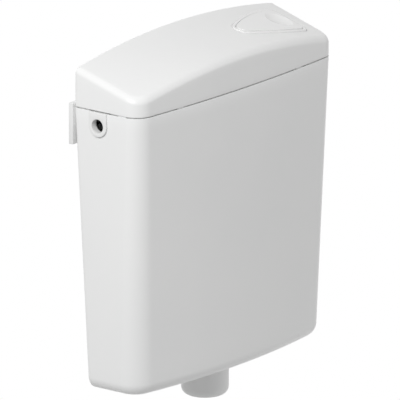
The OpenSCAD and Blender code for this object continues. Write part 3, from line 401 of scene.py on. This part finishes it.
def surface(name, dark, light, rough, grain, bump, patch, metallic=0.0, stretch=(1, 1, 1)):
    """Material whose colour drifts between two near tones, with uneven gloss and a fine skin."""
    mat = bpy.data.materials.new(name)
    mat.use_nodes = True
    nt = mat.node_tree
    shader = nt.nodes["Principled BSDF"]
    place = nt.nodes.new("ShaderNodeTexCoord")
    lay = nt.nodes.new("ShaderNodeMapping")
    lay.inputs["Scale"].default_value = stretch
    nt.links.new(place.outputs["Object"], lay.inputs["Vector"])

    def noise(scale, detail):
        n = nt.nodes.new("ShaderNodeTexNoise")
        n.inputs["Scale"].default_value = scale
        n.inputs["Detail"].default_value = detail
        nt.links.new(lay.outputs["Vector"], n.inputs["Vector"])
        return n.outputs[0]

    ramp = nt.nodes.new("ShaderNodeValToRGB")
    for stop, at, tone in zip(ramp.color_ramp.elements, (RAMP_LOW, RAMP_HIGH), (dark, light)):
        stop.position = at
        stop.color = (*tone, 1)
    nt.links.new(noise(patch, 3), ramp.inputs["Fac"])
    nt.links.new(ramp.outputs["Color"], shader.inputs["Base Color"])
    gloss = nt.nodes.new("ShaderNodeMapRange")
    gloss.inputs["To Min"].default_value = rough[0]
    gloss.inputs["To Max"].default_value = rough[1]
    nt.links.new(noise(grain * GLOSS_GRAIN, 4), gloss.inputs["Value"])
    nt.links.new(gloss.outputs["Result"], shader.inputs["Roughness"])
    skin = nt.nodes.new("ShaderNodeBump")
    skin.inputs["Strength"].default_value = bump
    skin.inputs["Distance"].default_value = SKIN_DEPTH
    nt.links.new(noise(grain, 2), skin.inputs["Height"])
    nt.links.new(skin.outputs["Normal"], shader.inputs["Normal"])
    shader.inputs["Metallic"].default_value = metallic
    return mat


MATS = {
    "white_shell": surface("white_shell", (0.865, 0.868, 0.866), (0.885, 0.886, 0.882),
                           (0.28, 0.38), grain=520, bump=0.05, patch=7),
    "white_trim": surface("white_trim", (0.880, 0.882, 0.880), (0.900, 0.900, 0.896),
                          (0.20, 0.30), grain=700, bump=0.03, patch=14),
    "white_moulding": surface("white_moulding", (0.800, 0.803, 0.800), (0.835, 0.836, 0.832),
                              (0.36, 0.50), grain=900, bump=0.10, patch=22),
    "valve_plastic": surface("valve_plastic", (0.70, 0.71, 0.69), (0.76, 0.77, 0.745),
                             (0.38, 0.52), grain=900, bump=0.10, patch=26),
    "float_plastic": surface("float_plastic", (0.085, 0.190, 0.310), (0.105, 0.220, 0.350),
                             (0.34, 0.48), grain=900, bump=0.10, patch=26),
    "seal_rubber": surface("seal_rubber", (0.012, 0.012, 0.012), (0.022, 0.022, 0.022),
                           (0.62, 0.80), grain=1400, bump=0.20, patch=60),
    "steel": surface("steel", (0.50, 0.50, 0.51), (0.60, 0.60, 0.60), (0.22, 0.38),
                     grain=1500, bump=0.12, patch=120, metallic=1.0, stretch=(1, 0.12, 1)),
}


def finish_piece(obj, body, slot, *nodes):
    # joins points that lie on each other, which drops the faces without area between them
    rework(obj.data,
           lambda bm: bmesh.ops.remove_doubles(bm, verts=bm.verts[:], dist=SAME_POINT))
    obj.data.materials.clear()
    obj.data.materials.append(MATS[slot])
    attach(obj, body)
    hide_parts(*nodes)


# Tank

def tank_rings():
    """Rings of the tub: up the outside from the foot, over the rim and down inside."""
    rings = [tank_ring(FOOT_Z + FOOT_R * (1 - c), FOOT_R * (1 - s), FOOT_BACK_R * (1 - s))
             for c, s in quarter(N_FOOT)]
    for z in np.linspace(FOOT_Z + FOOT_R, RIM_Z - RIM_SOFT, N_WALL)[1:-1]:
        rings.append(tank_ring(z, 0, 0))
    for c, s in quarter(N_RIM):
        d = RIM_SOFT * (1 - c)
        rings.append(tank_ring(RIM_Z - RIM_SOFT * (1 - s), d, d))
    for c, s in quarter(N_RIM):
        d = WALL - RIM_THIN * (1 - s)
        rings.append(tank_ring(RIM_Z - RIM_THIN * (1 - c), d, d))
    in_r, in_back = FOOT_R - WALL, FOOT_BACK_R - WALL
    for z in np.linspace(RIM_Z - RIM_THIN, FLOOR_Z + in_r, N_IN_WALL)[1:-1]:
        rings.append(tank_ring(z, WALL, WALL))
    for c, s in reversed(quarter(N_IN_FOOT)):
        rings.append(tank_ring(FLOOR_Z + in_r * (1 - c), WALL + in_r * (1 - s),
                               WALL + in_back * (1 - s)))
    return rings


def tank_cutters():
    """Outlet hole, slots of the inlet inserts and keyholes of the hanger studs."""
    hole = arc(0, OUT_Y, TAIL_R + TAIL_HOLE_FIT, HOLE_TURN, 360 + HOLE_TURN, N_LARGE)
    cutters = [Build().prism(hole, FOOT_Z - OVER, FLOOR_Z + OVER).object("outlet_cut")]
    slot = PLATE_R - SLOT_LAP
    loop = np.concatenate([arc(IN_Y, IN_Z, slot, 180, 360, N_MIDDLE),
                           [(IN_Y + slot, IN_Z), (IN_Y + slot, RIM_Z + SLOT_UP),
                            (IN_Y - slot, RIM_Z + SLOT_UP)]])
    for x0, x1 in ((-HALF_W - SLOT_OUT, -HALF_W + SLOT_IN), (HALF_W - SLOT_IN, HALF_W + SLOT_OUT)):
        cutters.append(Build().prism(loop, x0, x1).swap((2, 0, 1)).object("slot_cut"))
    for x in (-HANG_X, HANG_X):
        key = np.concatenate([arc(x, 0, KEY_R, 0, 180, N_KEY),
                              arc(x, -KEY_DROP, KEY_HEAD_R, KEY_OPEN, 540 - KEY_OPEN, N_KEY_HEAD)])
        key = Build().prism(key, BACK - KEY_L, BACK + OVER)
        cutters.append(key.swap((0, 2, 1)).object("key_cut"))
    return cutters


def bridge_ledges():
    """Brackets of the lever bridge on the back and front walls."""
    ra = (HALF_W ** 2 + BOW_RIM ** 2) / (2 * BOW_RIM)
    sag = (LEVER_X + BRIDGE_HALF) ** 2 / (2 * ra)
    front = BACK - TANK_D - BOW_RIM + sag + WALL + FRONT_GAP
    back = BACK - WALL
    top, half = BRIDGE_FOOT - LEDGE_FIT, BRIDGE_HALF + LEDGE_SIDE
    ledges = []
    for wall, way, screw in ((back, -1, back - BACK_GAP - SCREW_IN), (front, 1, front + SCREW_IN)):
        y = wall - LEDGE_IN
        root, reach = y - way * LEDGE_ROOT, y + way * LEDGE_L
        edge = reach - way * LEDGE_EDGE
        loop = np.array([(root, top), (edge, top), (reach, top - LEDGE_EDGE),
                         (reach, top - LEDGE_T + LEDGE_EDGE), (edge, top - LEDGE_T),
                         (root, top - LEDGE_H)])
        ledge = Build().prism(loop, LEVER_X - half, LEVER_X + half)
        ledge = ledge.swap((2, 0, 1)).object("ledge")
        bore = arc(LEVER_X, screw, PILOT_R, 0, 360, N_SMALL)
        cut(ledge, [Build().prism(bore, BRIDGE_FOOT - PILOT_L, BRIDGE_FOOT + OVER).object("pilot")])
        ledges.append(ledge)
    return ledges


def make_tank():
    shell = Build().loft(tank_rings(), first=(0, MID_Y, FOOT_Z), last=(0, MID_Y, FLOOR_Z))
    tank = shell.object("tank_shell")
    cut(tank, tank_cutters())
    join(tank, bridge_ledges())
    finish_piece(tank, "cistern", "white_shell", "tank")


# Lid

def rest_pads():
    """Pads under the edge of the lid that stand on the rim."""
    inset = LIP_OUT + LIP_EDGE
    outer, inner = plan(0, PAD_IN, PAD_IN), plan(0, inset, inset)
    side_y = MID_Y - TANK_D / 4 + PAD_L / 2
    pads = []
    for axis, middle in ((0, PAD_X), (0, -PAD_X), (1, side_y)):
        near = np.flatnonzero(np.abs(outer[:, axis] - middle) < PAD_L / 2 + PAD_LOOK)
        u = np.linspace(middle - PAD_L / 2, middle + PAD_L / 2, N_PAD)
        for r in np.split(near, np.flatnonzero(np.diff(near) > 1) + 1):
            sides = []
            for line in (outer, inner):
                order = np.argsort(line[r, axis])
                v = np.interp(u, line[r, axis][order], line[r, 1 - axis][order])
                sides.append(np.column_stack([u, v] if axis == 0 else [v, u]))
            loop = np.concatenate([sides[0], sides[1][::-1]])
            pad = Build().prism(loop, RIM_Z + PAD_FIT, RIM_Z + LID_GAP + PAD_ROOT)
            pads.append(pad.object("pad"))
    return pads


def lid_rings():
    """Rings of the lid: out under the top, round the lip, up the side and in over the top."""
    low, lip_low, in_r = RIM_Z + LID_GAP, RIM_Z - LIP_H, LID_EDGE - LID_T
    rings = [top_ring(LID_T, LID_EDGE, s) for s in TOP_SHARES]
    for c, s in reversed(quarter(N_LID_IN)):
        rings.append(top_ring(LID_T + in_r * (1 - s), LID_T + in_r * (1 - c), 1))
    for z, d in ((RIM_Z + LIP_ROOT, LID_T), (RIM_Z + LIP_SHOULDER, LIP_IN),
                 (lip_low + LIP_RISE, LIP_IN), (lip_low, LIP_IN - LIP_EDGE),
                 (lip_low, LIP_OUT + LIP_EDGE), (lip_low + LIP_RISE, LIP_OUT), (low, LIP_OUT)):
        rings.append(lid_ring(z, d))
    for c, s in quarter(N_LID_SOFT):
        rings.append(lid_ring(low + LID_SOFT * (1 - c), LID_SOFT * (1 - s)))
    side_low, side_high = rings[-1], top_ring(LID_EDGE, 0, 1)
    rings += [mix(side_low, side_high, t) for t in SIDE_SHARES]
    for c, s in quarter(N_LID_EDGE):
        rings.append(top_ring(LID_EDGE * (1 - s), LID_EDGE * (1 - c), 1))
    return rings + [top_ring(0, LID_EDGE, s) for s in reversed(TOP_SHARES)]


def lid_cutters():
    """Recess and hole of the button, and gaps in the lip over the inlet inserts."""
    recess = Build().prism(bezel_line(RECESS_GAP), level(-RECESS_H), level(RECESS_UP))
    hole = Build().prism(bezel_line(-SEAT_IN), HOLE_LOW, HOLE_HIGH)
    cutters = [recess.object("recess_cut"), hole.object("button_cut")]
    y0, y1 = IN_Y - PLATE_R - LIP_CUT_SIDE, IN_Y + PLATE_R + LIP_CUT_SIDE
    for sx in (-1, 1):
        x0 = sx * (HALF_W - LIP_OUT + LIP_CUT_IN)
        x1 = x0 - sx * LIP_CUT_L
        loop = np.array([(x0, y0), (x1, y0), (x1, y1), (x0, y1)])
        gap = Build().prism(loop, RIM_Z - LIP_H - LIP_CUT_OVER, RIM_Z + LIP_CUT_OVER)
        cutters.append(gap.object("lip_cut"))
    return cutters


def make_lid():
    top = lid_top(0, MID_Y)
    shell = Build().loft(lid_rings(), first=(0, MID_Y, top - LID_T), last=(0, MID_Y, top))
    lid = shell.object("lid_shell")
    cut(lid, lid_cutters())
    join(lid, rest_pads())
    finish_piece(lid, "cover", "white_shell", "lid")


# Bezel and button

def hinge_bore():
    loop = arc(HINGE_X, HINGE_Z, HINGE_BORE, 0, 360, N_SMALL)
    bore = Build().prism(loop, OUT_Y - HINGE_REACH, OUT_Y + HINGE_REACH)
    return bore.swap((0, 2, 1)).object("hinge_cut")


def make_bezel():
    foot, low = BEZEL_FIT - RECESS_H, -BEZEL_SKIRT
    profile = [(0, foot)]
    profile += [(-i, BEZEL_H - d) for i, d in BEZEL_ROUND]
    profile += [(i - BEZEL_W, BEZEL_H - d) for i, d in reversed(BEZEL_ROUND)]
    profile += [(-BEZEL_W, low + SKIRT_UP_IN), (SKIRT_EDGE - BEZEL_W, low),
                (-SKIRT_IN - SKIRT_EDGE, low), (-SKIRT_IN, low + SKIRT_UP_OUT), (-SKIRT_IN, foot)]
    rings = [over_top(bezel_line(g), h) for g, h in profile]
    bezel = Build().loft(rings, closed=True).object("bezel_ring", SHARP_SMALL)
    cut(bezel, [hinge_bore()], SHARP_SMALL)
    finish_piece(bezel, "cover", "white_trim", "button_bezel")


def button_shell():
    """Cap of the button: bowl of the dimple, top, skirt and hollow underside."""
    skin = BEZEL_H + BTN_RISE
    ball_r = (DIMPLE_D ** 2 / 4 + DIMPLE_H ** 2) / (2 * DIMPLE_H)
    foot = np.array([DIMPLE_X, BTN_Y, lid_top(DIMPLE_X, BTN_Y) + skin])
    ball = foot + (ball_r - DIMPLE_H) * lid_normal(DIMPLE_X, BTN_Y)
    centre = foot[:2]
    inner = bezel_line(BTN_G - BTN_EDGE)
    aim = inner - centre
    aim /= np.linalg.norm(aim, axis=1)[:, None]
    # plan radius at which the dimple meets the button's top, along each way from its middle
    near, far = np.zeros(len(aim)), np.full(len(aim), DIMPLE_D * DIMPLE_LOOK)
    for _ in range(N_HALVINGS):
        mid = (near + far) / 2
        p = centre + aim * mid[:, None]
        gap = np.linalg.norm(over_top(p, skin) - ball, axis=1) - ball_r
        near, far = np.where(gap < 0, mid, near), np.where(gap < 0, far, mid)
    rim = centre + aim * near[:, None]

    def bowl(p):
        z = ball[2] - np.sqrt(ball_r ** 2 - ((p - ball[:2]) ** 2).sum(1))
        return np.column_stack([p, z])

    rings = [bowl(mix(centre, rim, t)) for t in np.linspace(CENTRE_BOWL, 1, N_BOWL)]
    rings += [over_top(mix(rim, inner, t), skin) for t in np.linspace(0, 1, N_TOP)[1:]]
    for c, s in quarter(N_BTN_EDGE)[1:]:
        line = bezel_line(BTN_G - BTN_EDGE + BTN_EDGE * s)
        rings.append(over_top(line, skin - BTN_EDGE * (1 - c)))
    low, wall = -BTN_SKIRT, bezel_line(BTN_G - BTN_WALL)
    for g, h in ((0, low + BTN_WALL_EDGE), (BTN_WALL_EDGE, low), (BTN_WALL - BTN_WALL_EDGE, low),
                 (BTN_WALL, low + BTN_WALL_EDGE)):
        rings.append(over_top(bezel_line(BTN_G - g), h))
    rings += [over_top(mix(centre, wall, t), -BTN_T) for t in np.linspace(1, CENTRE_UNDER, N_UNDER)]
    ceiling = (*centre, lid_top(*centre) - BTN_T)
    return Build().loft(rings, first=bowl(centre[None, :])[0], last=ceiling)


def make_button():
    button = button_shell().object("button_cap", SHARP_BUTTON)
    disc = arc(DIMPLE_X, BTN_Y, DIMPLE_D / 2 + BOSS_OUT, 0, 360, N_LARGE)
    boss = Build().prism(disc, level(BOSS_LOW), level(BOSS_TOP)).object("boss")
    hub = arc(HINGE_X, HINGE_Z, KNUCKLE_R, 0, 360, N_MIDDLE)
    knuckle = Build().prism(hub, BTN_Y - KNUCKLE_NEAR, BTN_Y + KNUCKLE_FAR)
    knuckle = knuckle.swap((0, 2, 1)).object("knuckle")
    rib_low, rib_top = LEVER_Z + LEVER_TOP + RIB_FIT, lid_top(PUSH_X, OUT_Y) - RIB_IN
    rib = rounded_box("rib", (PUSH_X - RIB_X, OUT_Y - RIB_Y, rib_low),
                      (PUSH_X + RIB_X, OUT_Y + RIB_Y, rib_top), RIB_EDGE)
    for shell in (button, knuckle):
        cut(shell, [hinge_bore()], SHARP_BUTTON)
    join(button, [boss, knuckle, rib], SHARP_BUTTON)
    finish_piece(button, "button", "white_trim", "flush_button")


# Inlet inserts

def make_insert(side, name, node):
    top = RIM_Z - PLATE_FIT - IN_Z
    angles = set(np.linspace(0, 2 * math.pi, N_INSERT + 1)[:-1])
    for r in (PLATE_R, NECK_R):
        angles |= {math.atan2(top, r), math.atan2(top, -r)}
    phi = np.array(sorted(angles))
    c, s = np.cos(phi), np.sin(phi)

    def ring(x, reach):
        return np.column_stack([np.full(len(phi), side * x), IN_Y + reach * c, IN_Z + reach * s])

    def u_ring(x, r):
        """Ring that is round below and square above."""
        high = top - max(PLATE_R - r, 0) if r > PLATE_R - TOP_LAP else top
        side_reach = r / np.maximum(np.abs(c), TINY)
        top_reach = high / np.maximum(s, TINY)
        return ring(x, np.where(s > 0, np.minimum(side_reach, top_reach), r))

    inner, seat, face = HALF_W - INSERT_SEAT, HALF_W + PLATE_FIT, HALF_W + PLATE_OUT
    flange = inner + FLANGE_T
    skin = [(inner + a, PLATE_R - b) for a, b in INNER_EDGE]
    skin += [(flange - FLANGE_EDGE, PLATE_R), (flange, PLATE_R - FLANGE_EDGE), (flange, NECK_R),
             (seat, NECK_R), (seat, PLATE_R)]
    skin += [(face - a, PLATE_R - b) for a, b in PLATE_EDGE]
    bore = [(face - a, IN_R + b) for a, b in BORE_EDGE]
    bore += [(inner + a, IN_R + b) for a, b in BORE_END]
    rings = [u_ring(x, r) for x, r in skin]
    rings += [ring(x, np.full(len(phi), r)) for x, r in bore]
    insert = Build().loft(rings, closed=True).object(name, SHARP_INSERT)
    finish_piece(insert, "cistern", "white_moulding", node)


# Wall rail

def make_rail():
    rail = rounded_box("rail_bar", (-RAIL_W / 2, -RAIL_T, -RAIL_H / 2),
                       (RAIL_W / 2, 0, RAIL_H / 2), RAIL_EDGE)

    def drill(pts, x, name):
        return Build().turned(pts, x, 0, N_DRILL, solid=True).swap((0, 2, 1)).object(name)

    cell, floor_y, sink_y = RAIL_H / 2 - RAIL_RIB, -RAIL_T + RAIL_RIB, -RAIL_T - SINK_OUT
    spans = ((RAIL_MID, WALL_X - WALL_BOSS), (WALL_X + WALL_BOSS, HANG_X - STUD_BOSS),
             (HANG_X + STUD_BOSS, RAIL_W / 2 - RAIL_RIB))
    hole = [(SCREW_R, OVER), (SCREW_R, -RAIL_T + SINK_H), (SINK_R, sink_y)]
    stud = [(STUD_BORE, OVER), (STUD_BORE, -RAIL_T - OVER)]
    cutters = []
    for sx in (-1, 1):
        for span in spans:
            x0, x1 = sorted(sx * x for x in span)
            cutters.append(rounded_box("cell", (x0, floor_y, -cell), (x1, CELL_OUT, cell),
                                       CELL_EDGE, 2))
        cutters.append(drill(hole, sx * WALL_X, "screw_cut"))
        cutters.append(drill(stud, sx * HANG_X, "stud_cut"))
    cut(rail, cutters, SHARP_SMALL)
    finish_piece(rail, "cistern", "white_moulding", "wall_rail")


# Outlet nut

def make_nut():
    top, end = FOOT_Z - NUT_GAP, FOOT_Z - NUT_L
    lip, bore = end + NUT_LIP, TAIL_R + TAIL_FIT
    middle = NUT_R - NUT_EDGE
    start = math.degrees(math.asin((PIPE_HOLE - middle) / NUT_EDGE)) + NUT_TURN
    pts = [(bore, top), (bore, lip), (PIPE_HOLE, lip), (PIPE_HOLE, end + PIPE_EDGE)]
    for i in range(N_NUT_EDGE + 1):
        a = math.radians(mix(start, 90, i / N_NUT_EDGE))
        pts.append((middle + NUT_EDGE * math.sin(a), end + NUT_EDGE * (1 - math.cos(a))))
    for c, s in quarter(N_NUT_SOFT):
        pts.append((NUT_R - NUT_SOFT * (1 - c), top - NUT_SOFT * (1 - s)))
    nut = Build().turned(pts, 0, OUT_Y, N_NUT).object("nut_ring", SHARP_INSERT)
    finish_piece(nut, "cistern", "white_moulding", "outlet_nut")


make_tank()
make_lid()
make_bezel()
make_button()
make_insert(-1, "insert_left", "inlet_insert_left")
make_insert(1, "insert_right", "inlet_insert_right")
make_rail()
make_nut()

# The other nodes keep their shape and take a material by their slot
for part in frame["record"]["subparts"]:
    node = frame["nodes"][part["node"]]
    for place in node.material_slots:
        place.material = MATS[part["material_slot"]]

# Studio, in metres and watts

MIDDLE = (0, -0.06, -0.13)
LAMPS = (  # name, place, side, power
    ("key", (-2.4, -0.6, 1.6), 1.2, 58),
    ("fill", (1.7, -2.2, 0.5), 2.0, 14),
    ("back", (0.8, 2.4, 0.6), 2.0, 14),
    ("top", (0.1, 0.1, 2.3), 1.8, 4),
)
WORLD_LIGHT, WORLD_SEEN = 0.34, 1.0
FLOOR_AT, FLOOR_R = (0, -0.06, -1.05), 1.3
FLOOR_TONE, FLOOR_ROUGH = (0.82, 0.82, 0.82, 1), 0.9
FLOOR_SCALE, FADE_START, FADE_END = 0.77, 0.05, 0.6
AZIMUTH, ELEVATION = math.radians(-51.49), math.radians(16.04)
TARGET = Vector((-0.0131, -0.0611, -0.1320))
LENS, SENSOR, WIDTH = 1600.0, 36.0, 0.506  # lens and sensor in millimetres
CLIP_NEAR, CLIP_FAR = 1.0, 100.0

scene = bpy.context.scene
scene.view_settings.view_transform = "Standard"


def make_lamp(name, at, side, power):
    data = bpy.data.lights.new(name, "AREA")
    data.shape = "RECTANGLE"
    data.size, data.size_y = side, side
    data.energy = power
    lamp = bpy.data.objects.new(name, data)
    lamp.location = at
    lamp.rotation_euler = (Vector(MIDDLE) - Vector(at)).to_track_quat("-Z", "Y").to_euler()
    scene.collection.objects.link(lamp)


def make_world():
    """Even light from all round, behind a white that camera, glossy and clear rays see."""
    world = bpy.data.worlds.new("studio")
    world.use_nodes = True
    scene.world = world
    nt = world.node_tree
    plain = nt.nodes["Background"]
    seen = nt.nodes.new("ShaderNodeBackground")
    for ground, strength in ((plain, WORLD_LIGHT), (seen, WORLD_SEEN)):
        ground.inputs["Color"].default_value = (1, 1, 1, 1)
        ground.inputs["Strength"].default_value = strength
    path = nt.nodes.new("ShaderNodeLightPath")
    either = nt.nodes.new("ShaderNodeMath")
    any_of = nt.nodes.new("ShaderNodeMath")
    either.operation = any_of.operation = "MAXIMUM"
    nt.links.new(path.outputs["Is Camera Ray"], either.inputs[0])
    nt.links.new(path.outputs["Is Glossy Ray"], either.inputs[1])
    nt.links.new(either.outputs[0], any_of.inputs[0])
    nt.links.new(path.outputs["Is Transmission Ray"], any_of.inputs[1])
    blend = nt.nodes.new("ShaderNodeMixShader")
    nt.links.new(any_of.outputs[0], blend.inputs[0])
    nt.links.new(plain.outputs[0], blend.inputs[1])
    nt.links.new(seen.outputs[0], blend.inputs[2])
    nt.links.new(blend.outputs[0], nt.nodes["World Output"].inputs["Surface"])


def make_floor():
    """Pale floor under the cistern, which fades into the white round it."""
    bpy.ops.mesh.primitive_circle_add(vertices=128, radius=FLOOR_R, fill_type="NGON",
                                      location=FLOOR_AT)
    floor = bpy.context.object
    floor.name = "studio_floor"
    ground = bpy.data.materials.new("studio_floor")
    ground.use_nodes = True
    nt = ground.node_tree
    pale = nt.nodes["Principled BSDF"]
    pale.inputs["Base Color"].default_value = FLOOR_TONE
    pale.inputs["Roughness"].default_value = FLOOR_ROUGH
    clear = nt.nodes.new("ShaderNodeBsdfTransparent")
    where = nt.nodes.new("ShaderNodeTexCoord")
    size = nt.nodes.new("ShaderNodeMapping")
    size.inputs["Scale"].default_value = (FLOOR_SCALE, FLOOR_SCALE, FLOOR_SCALE)
    spot = nt.nodes.new("ShaderNodeTexGradient")
    spot.gradient_type = "SPHERICAL"
    fade = nt.nodes.new("ShaderNodeValToRGB")
    fade.color_ramp.elements[0].position = FADE_START
    fade.color_ramp.elements[1].position = FADE_END
    nt.links.new(where.outputs["Object"], size.inputs["Vector"])
    nt.links.new(size.outputs["Vector"], spot.inputs["Vector"])
    nt.links.new(spot.outputs["Fac"], fade.inputs["Fac"])
    cover = nt.nodes.new("ShaderNodeMixShader")
    nt.links.new(fade.outputs["Color"], cover.inputs[0])
    nt.links.new(clear.outputs[0], cover.inputs[1])
    nt.links.new(pale.outputs[0], cover.inputs[2])
    nt.links.new(cover.outputs[0], nt.nodes["Material Output"].inputs["Surface"])
    floor.data.materials.append(ground)


def make_camera():
    """Camera with a very long lens at the picture's angle, close to a parallel view."""
    level_out = math.cos(ELEVATION)
    back = Vector((math.sin(AZIMUTH) * level_out, -math.cos(AZIMUTH) * level_out,
                   math.sin(ELEVATION)))
    data = bpy.data.cameras.new("camera")
    data.lens = LENS
    data.sensor_width = SENSOR
    data.clip_start, data.clip_end = CLIP_NEAR, CLIP_FAR
    camera = bpy.data.objects.new("camera", data)
    camera.location = TARGET + back * (WIDTH * LENS / SENSOR)
    camera.rotation_euler = back.to_track_quat("Z", "Y").to_euler()
    scene.collection.objects.link(camera)
    scene.camera = camera


for lamp_row in LAMPS:
    make_lamp(*lamp_row)
make_world()
make_floor()
make_camera()
